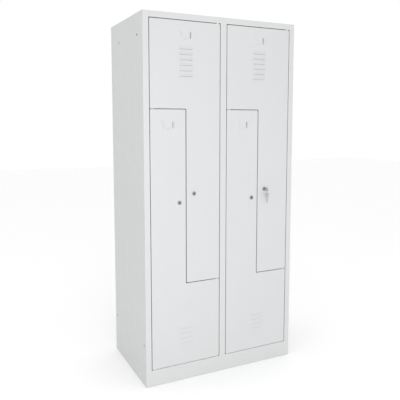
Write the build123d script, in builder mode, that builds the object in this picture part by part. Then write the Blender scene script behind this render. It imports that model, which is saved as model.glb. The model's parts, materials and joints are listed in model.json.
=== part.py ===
"""Two column Z locker: folded sheet steel carcass, four interlocking doors, cam locks and keys.

Millimetres, +X to the right as seen from the front, +Y to the back, +Z up.
The origin lies on the floor, midway between the sides and between front and back.
"""

import os

from build123d import *

# Carcass
width = 840.0
depth = 500.0
height = 1800.0
sheet = 0.8
bend_radius = 2.0
weld_flange = 14.0
foot_flange = 24.0
runner_width = 60.0
overrun = 6.0

# Front frame
post_face = 29.0
mullion_face = 34.0
top_rail_face = 29.0
base_face = 82.0
frame_round = 1.5
stop_lip = 12.0
hinge_relief = 35.0

# Z shaped partition in each column
upper_split_drop = 445.0
lower_split_height = 498.0
divider_flange = 36.0

# Doors
door_gap = 3.0
sill_gap = 1.5
split_gap = 4.0
door_depth = 18.0
stop_gap = 2.5
door_lip = 12.0
door_corner_radius = 6.0
door_notch_radius = 3.0
door_edge_radius = 2.0

# Stiffener behind each door skin
stiffener_inset = 26.0
stiffener_foot = 12.0
stiffener_crown = 28.0
stiffener_depth = 12.0
stiffener_end = 36.0

# Pivot hinges
pivot_inset = 12.0
pivot_setback = 7.0
pin_radius = 3.0
pin_collar_radius = 5.0
pin_collar_length = 2.0
pin_grip = 18.0
pin_reach = 9.0
running_clearance = 0.05
end_clearance = 0.3
bush_wall = 1.5
bush_flange_radius = 6.0
bush_depth = 4.0
bracket_thickness = 1.6
bracket_margin = 9.0
bracket_setback = 2.0

# Rubber buffers on the stops
buffer_radius = 4.0
buffer_inset = 70.0

# Ventilation louvres pressed out of the doors
louvre_width = 75.0
louvre_height = 12.0
louvre_proud = 3.0
louvre_crest = 2.0
louvre_wall = 0.8
louvre_end = 6.0
louvre_pitch = 25.4
upper_louvre_count = 6
lower_louvre_count = 4
upper_louvre_drop = 131.0
lower_louvre_rise = 111.5

# Card holders, a pair of lugs pressed out of each door with a small rest below them
card_width = 48.0
card_height = 36.0
card_lug_width = 8.0
card_lug_proud = 3.2
card_lug_crest = 2.8
card_lug_end = 7.0
card_opening = 0.7
card_rest_width = 16.0
card_rest_height = 0.8
card_rest_proud = 1.0
upper_card_drop = 66.0
lower_card_drop = 75.0

# Cam locks
upper_lock_height = 944.0
lower_lock_height = 903.0
upper_lock_inset = 42.0
lower_lock_inset = 36.0
lock_face_radius = 10.5
lock_face_proud = 2.5
lock_face_round = 1.2
lock_barrel_radius = 9.0
lock_barrel_length = 19.5
lock_nut_radius = 13.0
lock_nut_thickness = 3.5
plug_radius = 6.0
keyway_width = 2.4
keyway_height = 8.0
keyway_depth = 22.0
cam_gap = 1.0
cam_thickness = 2.0
cam_reach = 32.0
cam_radius = 8.0
cam_square = 6.5
cam_end = 1.0

# Keys and their ring
key_thickness = 2.0
key_standoff = 2.0
bow_length = 24.0
bow_width = 18.0
bow_corner_radius = 6.0
neck_length = 7.0
neck_width = 9.0
blade_length = 20.0
blade_width = 7.0
blade_tip = 2.3
notch_depth = 1.6
notch_count = 4
key_hole_radius = 3.5
key_hole_inset = 6.0
ring_radius = 10.0
ring_wire_radius = 0.8
ring_slack = 0.6
ring_turn = 45.0

# Coat rails and their sliding hooks
rail_height = 30.0
rail_width = 15.0
rail_wall = 1.5
upper_rail_drop = 100.0
lower_rail_drop = 55.0
cup_plate = 2.0
cup_sleeve = 9.0
cup_wall = 2.0
cup_fit = 0.1
hook_slack = 0.4
hook_wall = 3.0
hook_width = 12.0
hook_stem = 14.0
hook_bend_radius = 11.0
hook_thickness = 5.0

# Holes for bolting lockers side by side
link_hole_radius = 5.0
link_upper_drop = 100.0
link_lower_height = 206.0
link_upper_front = 80.0
link_upper_back = 140.0
link_lower_inset = 28.0

# Places worked out from the sizes above
front_y = -depth / 2
back_y = depth / 2
stop_y = front_y + door_depth + stop_gap
reveal_y = stop_y + sheet
panel_y = back_y - 2 * sheet
inner_x = width / 2 - sheet
opening_x = width / 2 - post_face
opening_width = opening_x - mullion_face / 2
column_x = (opening_x + mullion_face / 2) / 2
head_z = height - top_rail_face
upper_split_height = height - upper_split_drop
link_upper_height = height - link_upper_drop
door_half = opening_width / 2 - door_gap
door_bottom = base_face + sill_gap
door_top = head_z - door_gap
pivot_y = front_y + pivot_setback
pivot_reach = door_half - pivot_inset
pin_hole_radius = pin_radius + running_clearance
bush_radius = pin_hole_radius + bush_wall
cam_y = reveal_y + cam_gap
columns = {"left": -column_x, "right": column_x}


def plan_at(z):
    """The horizontal plane at one height, with local x along X and local y along Y."""
    return Plane.XY.offset(z)


def front_at(y):
    """The upright plane facing the viewer at one depth, with local x along X and y along Z."""
    return Plane.XZ.offset(-y)


def side_at(x):
    """The upright plane facing right at one place, with local x along Y and local y along Z."""
    return Plane.YZ.offset(x)


def strips(*runs):
    """Add the flat runs of a folded section, each as low and high of u, then of v."""
    for low_u, high_u, low_v, high_v in runs:
        with Locations(((low_u + high_u) / 2, (low_v + high_v) / 2)):
            Rectangle(high_u - low_u, high_v - low_v)


def finish(piece, name):
    """Label a finished piece and write it to its own file."""
    piece.part.label = name
    export_step(piece.part, f"parts/{name}.step")


def nearest(section, u, v):
    """The corner of a section that lies nearest to one place."""
    return section.vertices().sort_by_distance((u, v))[0]


os.makedirs("parts", exist_ok=True)

# Side panels: wall, rounded front post and weld flanges folded from one blank

with BuildPart() as side_panel_left:
    post_stretches = ((0, base_face, False), (base_face, head_z, True), (head_z, height - sheet, False))
    with BuildSketch(plan_at(0)) as wall_section:
        strips(
            (-width / 2, -inner_x, front_y, back_y),
            (-width / 2, -opening_x - stop_lip, front_y, front_y + sheet),
            (-width / 2, -width / 2 + weld_flange, back_y - sheet, back_y),
        )
        fillet(nearest(wall_section, -width / 2, front_y), bend_radius)
        fillet(nearest(wall_section, -inner_x, front_y + sheet), bend_radius - sheet)
        fillet(nearest(wall_section, -width / 2, back_y), bend_radius)
    extrude(amount=height)
    for low, high, rounded in post_stretches:
        with BuildSketch(plan_at(low)) as post_section:
            strips(
                (-opening_x - stop_lip, -opening_x, front_y, front_y + sheet),
                (-opening_x - sheet, -opening_x, front_y, reveal_y),
                (-opening_x - stop_lip, -opening_x, stop_y, reveal_y),
            )
            if rounded:
                fillet(nearest(post_section, -opening_x, front_y), frame_round)
        extrude(amount=high - low)
    with BuildSketch(plan_at(0)):
        strips((-width / 2 + bend_radius, -width / 2 + foot_flange, reveal_y, panel_y))
    extrude(amount=sheet)
    with BuildSketch(plan_at(height - 2 * sheet)):
        strips((-inner_x - sheet / 2, -width / 2 + weld_flange, reveal_y, panel_y))
    extrude(amount=sheet)
    with BuildSketch(side_at(-width / 2 - overrun)):
        with Locations(
            (front_y + link_upper_front, link_upper_height),
            (back_y - link_upper_back, link_upper_height),
            (front_y + link_lower_inset, link_lower_height),
            (back_y - link_lower_inset, link_lower_height),
        ):
            Circle(link_hole_radius)
    extrude(amount=2 * overrun, mode=Mode.SUBTRACT)
finish(side_panel_left, "side_panel_left")

with BuildPart() as side_panel_right:
    mirror(side_panel_left.part, about=Plane.YZ)
finish(side_panel_right, "side_panel_right")

# Centre post between the two columns of doors

with BuildPart() as centre_post:
    with BuildSketch(plan_at(base_face)) as mullion_section:
        strips(
            (-mullion_face / 2, mullion_face / 2, front_y, front_y + sheet),
            (-mullion_face / 2, -mullion_face / 2 + sheet, front_y, reveal_y),
            (mullion_face / 2 - sheet, mullion_face / 2, front_y, reveal_y),
            (-mullion_face / 2, -mullion_face / 2 + stop_lip, stop_y, reveal_y),
            (mullion_face / 2 - stop_lip, mullion_face / 2, stop_y, reveal_y),
        )
        fillet(nearest(mullion_section, -mullion_face / 2, front_y), frame_round)
        fillet(nearest(mullion_section, mullion_face / 2, front_y), frame_round)
    extrude(amount=head_z - base_face)
finish(centre_post, "centre_post")

# Partition between the columns, with weld flanges at the post, the top and the back

with BuildPart() as centre_partition:
    with BuildSketch(plan_at(base_face)):
        strips(
            (-sheet / 2, sheet / 2, reveal_y, panel_y),
            (-sheet / 2, mullion_face / 2, reveal_y, reveal_y + sheet),
            (-sheet / 2, weld_flange, panel_y - sheet, panel_y),
        )
    extrude(amount=head_z - base_face)
    with BuildSketch(front_at(reveal_y)):
        strips(
            (-sheet / 2, sheet / 2, head_z, height - sheet),
            (-sheet / 2, weld_flange, height - 2 * sheet, height - sheet),
        )
    extrude(amount=reveal_y - panel_y)
finish(centre_partition, "centre_partition")

# Top panel: roof sheet, front rail, head reveal and the stop lips of the upper doors

rail_stretches = (
    (-opening_x, -mullion_face / 2, True),
    (-mullion_face / 2, mullion_face / 2, False),
    (mullion_face / 2, opening_x, True),
)
upper_pivots = [(centre + pivot_reach, pivot_y) for centre in columns.values()]
lower_pivots = [(centre - pivot_reach, pivot_y) for centre in columns.values()]

with BuildPart() as top_panel:
    for low, high, rounded in rail_stretches:
        with BuildSketch(side_at(low)) as head_section:
            strips(
                (front_y, front_y + sheet, head_z, height),
                (front_y, front_y + weld_flange, height - sheet, height),
                (front_y, reveal_y, head_z, head_z + sheet),
            )
            fillet(nearest(head_section, front_y, height), bend_radius)
            fillet(nearest(head_section, front_y + sheet, height - sheet), bend_radius - sheet)
            if rounded:
                fillet(nearest(head_section, front_y, head_z), frame_round)
        extrude(amount=high - low)
    with BuildSketch(plan_at(height - sheet)):
        strips((-inner_x, inner_x, front_y + bend_radius, back_y - sheet))
    extrude(amount=sheet)
    with BuildSketch(front_at(back_y - sheet)):
        strips((-width / 2 + weld_flange, width / 2 - weld_flange, head_z, height))
    extrude(amount=-sheet)
    with BuildSketch(front_at(stop_y)):
        for centre in columns.values():
            strips((
                centre - opening_width / 2, centre + opening_width / 2 - hinge_relief,
                head_z - stop_lip, head_z + sheet,
            ))
    extrude(amount=-sheet)
    with BuildSketch(plan_at(head_z - overrun)):
        with Locations(*upper_pivots):
            Circle(bush_radius + running_clearance)
    extrude(amount=2 * overrun, mode=Mode.SUBTRACT)
finish(top_panel, "top_panel")

# Front base rail: plinth face, sill, the stop lips of the lower doors and a foot flange

with BuildPart() as front_base_rail:
    for low, high, rounded in rail_stretches:
        with BuildSketch(side_at(low)) as sill_section:
            strips(
                (front_y, front_y + sheet, 0, base_face),
                (front_y, reveal_y, base_face - sheet, base_face),
                (front_y, front_y + foot_flange, 0, sheet),
            )
            fillet(nearest(sill_section, front_y, 0), frame_round)
            if rounded:
                fillet(nearest(sill_section, front_y, base_face), frame_round)
        extrude(amount=high - low)
    with BuildSketch(front_at(stop_y)):
        for centre in columns.values():
            strips((
                centre - opening_width / 2 + hinge_relief, centre + opening_width / 2,
                base_face - sheet, base_face + stop_lip,
            ))
    extrude(amount=-sheet)
    with BuildSketch(plan_at(base_face - overrun)):
        with Locations(*lower_pivots):
            Circle(bush_radius + running_clearance)
    extrude(amount=2 * overrun, mode=Mode.SUBTRACT)
finish(front_base_rail, "front_base_rail")

# Floor panel, turned down along its front and back edges

with BuildPart() as floor_panel:
    with BuildSketch(side_at(-inner_x)):
        strips(
            (reveal_y, panel_y, base_face - sheet, base_face),
            (reveal_y, reveal_y + sheet, base_face - foot_flange, base_face),
            (panel_y - sheet, panel_y, base_face - foot_flange, base_face),
        )
    extrude(amount=2 * inner_x)
finish(floor_panel, "floor_panel")

# Runner under the middle of the floor panel, and an angle along the back

with BuildPart() as centre_base_runner:
    with BuildSketch(front_at(reveal_y + foot_flange)):
        strips(
            (-runner_width / 2, runner_width / 2, 0, sheet),
            (-runner_width / 2, -runner_width / 2 + sheet, 0, base_face - sheet),
            (runner_width / 2 - sheet, runner_width / 2, 0, base_face - sheet),
            (-runner_width / 2, -runner_width / 2 + weld_flange, base_face - 2 * sheet, base_face - sheet),
            (runner_width / 2 - weld_flange, runner_width / 2, base_face - 2 * sheet, base_face - sheet),
        )
    extrude(amount=reveal_y - panel_y + 2 * foot_flange)
finish(centre_base_runner, "centre_base_runner")

with BuildPart() as rear_base_rail:
    with BuildSketch(side_at(-opening_x)):
        strips(
            (panel_y - foot_flange + sheet, panel_y, 0, sheet),
            (panel_y - sheet, panel_y, 0, base_face - foot_flange),
        )
    extrude(amount=2 * opening_x)
finish(rear_base_rail, "rear_base_rail")

# Back panel, lapped inside the flanges of the sides and the top

with BuildPart() as back_panel:
    with BuildSketch(front_at(panel_y)):
        strips((-inner_x, inner_x, 0, height - sheet))
    extrude(amount=-sheet)
finish(back_panel, "back_panel")

# Z shaped partition of each column: upper half shelf, upright divider, lower half shelf

flange_half = divider_flange / 2
web_front = reveal_y + sheet
web_back = panel_y - sheet

for column, centre in columns.items():
    wall_left = -inner_x if column == "left" else sheet / 2
    wall_right = -sheet / 2 if column == "left" else inner_x
    shelf_left = centre - opening_width / 2 + hinge_relief
    shelf_right = centre + opening_width / 2 - hinge_relief

    with BuildPart() as upper_shelf:
        with BuildSketch(front_at(web_front)):
            strips(
                (wall_left, centre + sheet / 2, upper_split_height - sheet / 2, upper_split_height + sheet / 2),
                (wall_left, wall_left + sheet, upper_split_height - weld_flange, upper_split_height),
            )
        extrude(amount=web_front - web_back)
        with BuildSketch(front_at(web_front)):
            strips((
                shelf_left, centre + sheet / 2,
                upper_split_height - sheet / 2, upper_split_height + sheet / 2,
            ))
        extrude(amount=web_front - stop_y)
        with BuildSketch(front_at(stop_y)):
            strips((
                shelf_left, centre + flange_half,
                upper_split_height - flange_half, upper_split_height + flange_half,
            ))
        extrude(amount=-sheet)
    finish(upper_shelf, f"upper_shelf_{column}")

    with BuildPart() as divider:
        with BuildSketch(plan_at(lower_split_height + sheet / 2)):
            strips(
                (centre - sheet / 2, centre + sheet / 2, reveal_y, panel_y),
                (centre - sheet / 2, centre + weld_flange, panel_y - sheet, panel_y),
            )
        extrude(amount=upper_split_height - lower_split_height - sheet)
        with BuildSketch(front_at(stop_y)):
            strips((
                centre - flange_half, centre + flange_half,
                lower_split_height + flange_half, upper_split_height - flange_half,
            ))
        extrude(amount=-sheet)
    finish(divider, f"divider_{column}")

    with BuildPart() as lower_shelf:
        with BuildSketch(front_at(web_front)):
            strips(
                (centre - sheet / 2, wall_right, lower_split_height - sheet / 2, lower_split_height + sheet / 2),
                (wall_right - sheet, wall_right, lower_split_height - weld_flange, lower_split_height),
            )
        extrude(amount=web_front - web_back)
        with BuildSketch(front_at(web_front)):
            strips((
                centre - sheet / 2, shelf_right,
                lower_split_height - sheet / 2, lower_split_height + sheet / 2,
            ))
        extrude(amount=web_front - stop_y)
        with BuildSketch(front_at(stop_y)):
            strips((
                centre - flange_half, shelf_right,
                lower_split_height - flange_half, lower_split_height + flange_half,
            ))
        extrude(amount=-sheet)
    finish(lower_shelf, f"lower_shelf_{column}")

# Oval coat rails, their end cups and one sliding hook on each rail

rail_runs = {}
for column, centre in columns.items():
    wall_left = -inner_x if column == "left" else sheet / 2
    wall_right = -sheet / 2 if column == "left" else inner_x
    rail_runs[f"upper_{column}"] = (wall_left, wall_right, height - upper_rail_drop)
    rail_runs[f"lower_{column}"] = (wall_left, centre - sheet / 2, upper_split_height - lower_rail_drop)

for place, (low, high, rail_z) in rail_runs.items():
    with BuildPart() as coat_rail:
        with BuildSketch(side_at(low + cup_plate)):
            with Locations((0, rail_z)):
                SlotOverall(rail_height, rail_width, rotation=90)
                SlotOverall(
                    rail_height - 2 * rail_wall, rail_width - 2 * rail_wall, rotation=90, mode=Mode.SUBTRACT,
                )
        extrude(amount=high - low - 2 * cup_plate)
    finish(coat_rail, f"coat_rail_{place}")

with BuildPart() as rail_cups:
    cup_grow = 2 * (cup_fit + cup_wall)
    for low, high, rail_z in rail_runs.values():
        for wall, inward in ((low, 1), (high, -1)):
            with BuildSketch(side_at(wall)):
                with Locations((0, rail_z)):
                    SlotOverall(rail_height + cup_grow, rail_width + cup_grow, rotation=90)
            extrude(amount=inward * (cup_plate + cup_sleeve))
            with BuildSketch(side_at(wall + inward * cup_plate)):
                with Locations((0, rail_z)):
                    SlotOverall(rail_height + 2 * cup_fit, rail_width + 2 * cup_fit, rotation=90)
            extrude(amount=inward * (cup_sleeve + overrun), mode=Mode.SUBTRACT)
finish(rail_cups, "rail_cups")

for place, (low, high, rail_z) in rail_runs.items():
    hook_x = (low + high) / 2
    collar_grow = 2 * (hook_slack + hook_wall)
    stem_z = rail_z - rail_height / 2 - hook_slack - hook_wall
    bend_z = stem_z - hook_stem
    hook_outer = hook_bend_radius + hook_thickness / 2
    hook_inner = hook_bend_radius - hook_thickness / 2
    with BuildPart() as coat_hook:
        with BuildSketch(side_at(hook_x)):
            with Locations((0, rail_z)):
                SlotOverall(rail_height + collar_grow, rail_width + collar_grow, rotation=90)
                SlotOverall(
                    rail_height + 2 * hook_slack, rail_width + 2 * hook_slack, rotation=90, mode=Mode.SUBTRACT,
                )
        extrude(amount=hook_width / 2, both=True)
        with BuildSketch(side_at(hook_x)):
            strips((-hook_thickness / 2, hook_thickness / 2, bend_z, stem_z + hook_wall / 2))
            with Locations((-hook_bend_radius, bend_z), (hook_bend_radius, bend_z)):
                Circle(hook_outer)
            with Locations((-hook_bend_radius, bend_z), (hook_bend_radius, bend_z)):
                Circle(hook_inner, mode=Mode.SUBTRACT)
            for side in (-1, 1):
                with Locations((side * hook_bend_radius, bend_z + hook_outer / 2)):
                    Rectangle(2 * hook_inner, hook_outer, mode=Mode.SUBTRACT)
                with Locations((side * (hook_outer + hook_bend_radius), bend_z + hook_outer / 2)):
                    Rectangle(2 * hook_outer - hook_thickness / 2, hook_outer, mode=Mode.SUBTRACT)
                with Locations((side * 2 * hook_bend_radius, bend_z)):
                    Circle(hook_thickness / 2)
        extrude(amount=hook_thickness / 2, both=True)
    finish(coat_hook, f"coat_hook_{place}")

# Doors: the stepped outline of each, its hinge side and the heights of its hinge edge

half_gap = door_gap / 2
half_split = split_gap / 2
upper_edge = (lower_split_height + half_gap, door_top)
lower_edge = (door_bottom, upper_split_height - half_gap)
doors = {}
for column, centre in columns.items():
    left = centre - door_half
    right = centre + door_half
    upper_corners = (
        (left, upper_split_height + half_gap),
        (left, door_top),
        (right, door_top),
        (right, lower_split_height + half_gap),
        (centre + half_split, lower_split_height + half_gap),
        (centre + half_split, upper_split_height + half_gap),
    )
    lower_corners = (
        (right, lower_split_height - half_gap),
        (right, door_bottom),
        (left, door_bottom),
        (left, upper_split_height - half_gap),
        (centre - half_split, upper_split_height - half_gap),
        (centre - half_split, lower_split_height - half_gap),
    )
    arm_x = centre - (door_half + half_split) / 2
    upper_louvres = [
        (centre, front_y, door_top - upper_louvre_drop - step * louvre_pitch)
        for step in range(upper_louvre_count)
    ]
    lower_louvres = [
        (centre, front_y, door_bottom + lower_louvre_rise + step * louvre_pitch)
        for step in range(lower_louvre_count)
    ]
    doors[f"upper_{column}"] = {
        "corners": upper_corners,
        "hinge": (right, 1),
        "edge": upper_edge,
        "louvres": upper_louvres,
        "card": (centre, door_top - upper_card_drop),
        "lock": (centre + upper_lock_inset, upper_lock_height),
    }
    doors[f"lower_{column}"] = {
        "corners": lower_corners,
        "hinge": (left, -1),
        "edge": lower_edge,
        "louvres": lower_louvres,
        "card": (arm_x, lower_edge[1] - lower_card_drop),
        "lock": (centre - lower_lock_inset, lower_lock_height),
    }


def door_face(corners, inset=0.0):
    """The stepped face of a door, drawn in by a width all round. The last corner is the notch of the step."""
    with BuildSketch(mode=Mode.PRIVATE) as face:
        with BuildLine():
            Polyline(*corners, close=True)
        make_face()
        fillet(face.vertices().sort_by_distance(corners[-1])[1:], door_corner_radius)
        fillet(face.vertices().sort_by_distance(corners[-1])[0], door_notch_radius)
        if inset > 0:
            offset(amount=-inset)
    return face.sketch


def wedge(half_width, foot, crest, end, proud):
    """A louvre's pressed wedge on the plane of the skin, square and upright along its lower edge."""
    with BuildPart(mode=Mode.PRIVATE) as shape:
        with BuildSketch(Plane.XZ):
            strips((-half_width, half_width, 0, foot))
        with BuildSketch(Plane.XZ.offset(proud)):
            strips((-half_width + end, half_width - end, 0, crest))
        loft()
    return shape.part


louvre_bump = wedge(louvre_width / 2, louvre_height, louvre_crest, louvre_end, louvre_proud)
louvre_void = wedge(
    louvre_width / 2 - louvre_wall,
    louvre_height - louvre_wall,
    louvre_crest - louvre_wall,
    louvre_end,
    louvre_proud - louvre_wall,
)
card_lug = wedge(card_height / 2, card_lug_width, card_lug_crest, card_lug_end, card_lug_proud)
lug_void_half = card_height / 2 - louvre_wall
lug_void_width = card_lug_width - 2 * louvre_wall
lug_void = wedge(
    lug_void_half, lug_void_width, card_lug_crest - louvre_wall, card_lug_end, card_lug_proud - louvre_wall,
)

for place, door in doors.items():
    hinge_x, hinge_side = door["hinge"]
    pivot_x = hinge_x - hinge_side * pivot_inset
    edge_low, edge_high = door["edge"]
    card_x, card_z = door["card"]
    card_low = card_z - card_height / 2

    with BuildPart() as door_skin:
        with BuildSketch(front_at(front_y + door_depth)):
            add(door_face(door["corners"]))
        extrude(amount=door_depth)
        front_edges = door_skin.faces().sort_by(Axis.Y)[0].edges()
        fillet(front_edges, door_edge_radius)
        with BuildSketch(front_at(front_y + door_depth - sheet)):
            add(door_face(door["corners"], sheet))
        extrude(amount=door_depth - 2 * sheet, mode=Mode.SUBTRACT)
        with BuildSketch(front_at(front_y + door_depth + overrun)):
            add(door_face(door["corners"], door_lip))
        extrude(amount=2 * overrun, mode=Mode.SUBTRACT)
        with BuildSketch(front_at(front_y + sheet + overrun)):
            with Locations(door["lock"]):
                Circle(lock_barrel_radius + running_clearance)
        extrude(amount=2 * overrun, mode=Mode.SUBTRACT)
        for edge_z in (edge_low, edge_high):
            with BuildSketch(plan_at(edge_z - overrun)):
                with Locations((pivot_x, pivot_y)):
                    Circle(pin_hole_radius)
            extrude(amount=2 * overrun, mode=Mode.SUBTRACT)
        with Locations(*door["louvres"]):
            add(louvre_bump)
        with Locations(*door["louvres"]):
            add(louvre_void, mode=Mode.SUBTRACT)
        with BuildSketch(front_at(front_y + sheet)):
            for louvre_x, _, louvre_z in door["louvres"]:
                reach = louvre_width / 2 - louvre_wall
                strips((louvre_x - reach, louvre_x + reach, louvre_z, louvre_z + louvre_height - louvre_wall))
        extrude(amount=sheet, mode=Mode.SUBTRACT)
        lug_places = [
            Location((card_x + side * card_width / 2, front_y, card_z), (0, side * 90, 0))
            for side in (-1, 1)
        ]
        with Locations(*lug_places):
            add(card_lug)
        with Locations(*lug_places):
            add(lug_void, mode=Mode.SUBTRACT)
        with BuildSketch(front_at(front_y + sheet)):
            for side in (-1, 1):
                with Locations((card_x + side * card_width / 2, card_z)):
                    Ellipse(card_opening, lug_void_half)
                with Locations((card_x + side * (card_width + lug_void_width) / 2, card_z)):
                    Rectangle(lug_void_width, 2 * lug_void_half)
        extrude(amount=sheet, mode=Mode.SUBTRACT)
        with BuildSketch(front_at(front_y)):
            strips((
                card_x - card_rest_width / 2, card_x + card_rest_width / 2,
                card_low - card_rest_height, card_low,
            ))
        extrude(amount=card_rest_proud)
    finish(door_skin, f"door_skin_{place}")

    with BuildPart() as stiffener:
        skin_y = front_y + sheet
        crown_low = stiffener_inset + stiffener_foot
        crown_high = crown_low + stiffener_crown
        runs = (
            (stiffener_inset, crown_low + sheet, 0, sheet),
            (crown_low, crown_low + sheet, 0, stiffener_depth),
            (crown_low, crown_high, stiffener_depth - sheet, stiffener_depth),
            (crown_high - sheet, crown_high, 0, stiffener_depth),
            (crown_high - sheet, crown_high + stiffener_foot, 0, sheet),
        )
        with BuildSketch(plan_at(edge_low + stiffener_end)):
            for near_x, far_x, near_y, far_y in runs:
                low_x, high_x = sorted((hinge_x - hinge_side * near_x, hinge_x - hinge_side * far_x))
                strips((low_x, high_x, skin_y + near_y, skin_y + far_y))
        extrude(amount=edge_high - edge_low - 2 * stiffener_end)
    finish(stiffener, f"door_stiffener_{place}")

    bracket_reach = door_gap - end_clearance
    low_reach, high_reach = (bracket_reach, pin_reach) if hinge_side > 0 else (pin_reach, bracket_reach)
    with BuildPart() as hinge_pins:
        for edge_z, outward, reach in ((edge_low, -1, low_reach), (edge_high, 1, high_reach)):
            with BuildSketch(plan_at(edge_z + outward * reach)):
                with Locations((pivot_x, pivot_y)):
                    Circle(pin_radius)
            extrude(amount=-outward * (reach + sheet + pin_grip))
            with BuildSketch(plan_at(edge_z - outward * sheet)):
                with Locations((pivot_x, pivot_y)):
                    Circle(pin_collar_radius)
            extrude(amount=-outward * pin_collar_length)
    finish(hinge_pins, f"hinge_pins_{place}")

    with BuildPart() as lock_housing:
        with BuildSketch(front_at(front_y)):
            with Locations(door["lock"]):
                Circle(lock_face_radius)
        extrude(amount=lock_face_proud)
        fillet(lock_housing.faces().sort_by(Axis.Y)[0].edges(), lock_face_round)
        with BuildSketch(front_at(front_y + lock_barrel_length)):
            with Locations(door["lock"]):
                Circle(lock_barrel_radius)
        extrude(amount=lock_barrel_length)
        with BuildSketch(front_at(front_y + lock_barrel_length + overrun)):
            with Locations(door["lock"]):
                Circle(plug_radius + running_clearance)
        extrude(amount=lock_barrel_length + 2 * overrun, mode=Mode.SUBTRACT)
    finish(lock_housing, f"lock_housing_{place}")

    with BuildPart() as lock_nut:
        with BuildSketch(front_at(front_y + sheet)):
            with Locations(door["lock"]):
                RegularPolygon(lock_nut_radius, 6)
                Circle(lock_barrel_radius + running_clearance, mode=Mode.SUBTRACT)
        extrude(amount=-lock_nut_thickness)
    finish(lock_nut, f"lock_nut_{place}")

    with BuildPart() as lock_plug:
        with BuildSketch(front_at(cam_y)):
            with Locations(door["lock"]):
                Circle(plug_radius)
        extrude(amount=cam_y - front_y + lock_face_proud)
        with BuildSketch(front_at(cam_y)):
            with Locations(door["lock"]):
                Rectangle(cam_square, cam_square)
        extrude(amount=-cam_thickness - cam_end)
        with BuildSketch(front_at(front_y - lock_face_proud)):
            with Locations(door["lock"]):
                Rectangle(keyway_width, keyway_height)
        extrude(amount=-keyway_depth, mode=Mode.SUBTRACT)
    finish(lock_plug, f"lock_plug_{place}")

    with BuildPart() as lock_cam:
        lock_x, lock_z = door["lock"]
        with BuildSketch(front_at(cam_y)):
            with Locations((lock_x, lock_z + (cam_radius - cam_reach) / 2)):
                SlotOverall(cam_reach + cam_radius, 2 * cam_radius, rotation=90)
            with Locations(door["lock"]):
                Rectangle(
                    cam_square + 2 * running_clearance, cam_square + 2 * running_clearance, mode=Mode.SUBTRACT,
                )
        extrude(amount=-cam_thickness)
    finish(lock_cam, f"lock_cam_{place}")

# Hinge brackets in the split gaps, welded to the posts, one for each door's inner pin

bracket_tops = {
    -1: upper_split_height + half_gap - end_clearance,
    1: lower_split_height - half_gap + end_clearance + bracket_thickness,
}

with BuildPart() as hinge_brackets:
    for door in doors.values():
        hinge_x, hinge_side = door["hinge"]
        pivot_x = hinge_x - hinge_side * pivot_inset
        low_x, high_x = sorted((hinge_x + hinge_side * door_gap, pivot_x - hinge_side * bracket_margin))
        with BuildSketch(plan_at(bracket_tops[hinge_side])):
            strips((low_x, high_x, front_y + bracket_setback, reveal_y))
            with Locations((pivot_x, pivot_y)):
                Circle(bush_radius + running_clearance, mode=Mode.SUBTRACT)
        extrude(amount=-bracket_thickness)
finish(hinge_brackets, "hinge_brackets")

# Flanged plastic bushes that carry the pins in the sill, the head and the brackets

with BuildPart() as hinge_bushes:
    bracket_flange = door_gap - 2 * end_clearance - bracket_thickness
    for door in doors.values():
        hinge_x, hinge_side = door["hinge"]
        bracket_top = bracket_tops[hinge_side]
        frame_z = head_z if hinge_side > 0 else base_face
        frame_flange = (door_gap if hinge_side > 0 else sill_gap) - end_clearance
        bracket_z = bracket_top if hinge_side > 0 else bracket_top - bracket_thickness
        seats = (
            (frame_z, -hinge_side, frame_flange, bush_depth),
            (bracket_z, hinge_side, bracket_flange, bracket_thickness),
        )
        for seat_z, to_door, flange, spigot in seats:
            with BuildSketch(plan_at(seat_z)):
                with Locations((hinge_x - hinge_side * pivot_inset, pivot_y)):
                    Circle(bush_flange_radius)
                    Circle(pin_hole_radius, mode=Mode.SUBTRACT)
            extrude(amount=to_door * flange)
            with BuildSketch(plan_at(seat_z)):
                with Locations((hinge_x - hinge_side * pivot_inset, pivot_y)):
                    Circle(bush_radius)
                    Circle(pin_hole_radius, mode=Mode.SUBTRACT)
            extrude(amount=-to_door * spigot)
finish(hinge_bushes, "hinge_bushes")

# Rubber buffers on the stops, three behind each door

with BuildPart() as door_buffers:
    with BuildSketch(front_at(stop_y)):
        for centre in columns.values():
            free_left = centre - opening_width / 2 + buffer_inset
            free_right = centre + opening_width / 2 - buffer_inset
            with Locations(
                (free_left, head_z - stop_lip / 2),
                (free_left, upper_split_height + flange_half / 2),
                (centre + flange_half / 2, lower_split_height + buffer_inset),
                (free_right, base_face + stop_lip / 2),
                (free_right, lower_split_height - flange_half / 2),
                (centre - flange_half / 2, upper_split_height - buffer_inset),
            ):
                Circle(buffer_radius)
    extrude(amount=stop_gap - end_clearance)
finish(door_buffers, "door_buffers")

# Key in the upper right lock, with a ring and a spare key hanging from its bow

key_hole_reach = neck_length + bow_length - key_hole_inset
hang = key_hole_radius - ring_wire_radius - ring_slack
key_x, key_z = doors["upper_right"]["lock"]
shoulder_y = front_y - lock_face_proud - key_standoff
ring_y = shoulder_y - key_hole_reach
ring_z = key_z - hang - ring_radius
spare_hole_z = ring_z - ring_radius - hang

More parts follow.
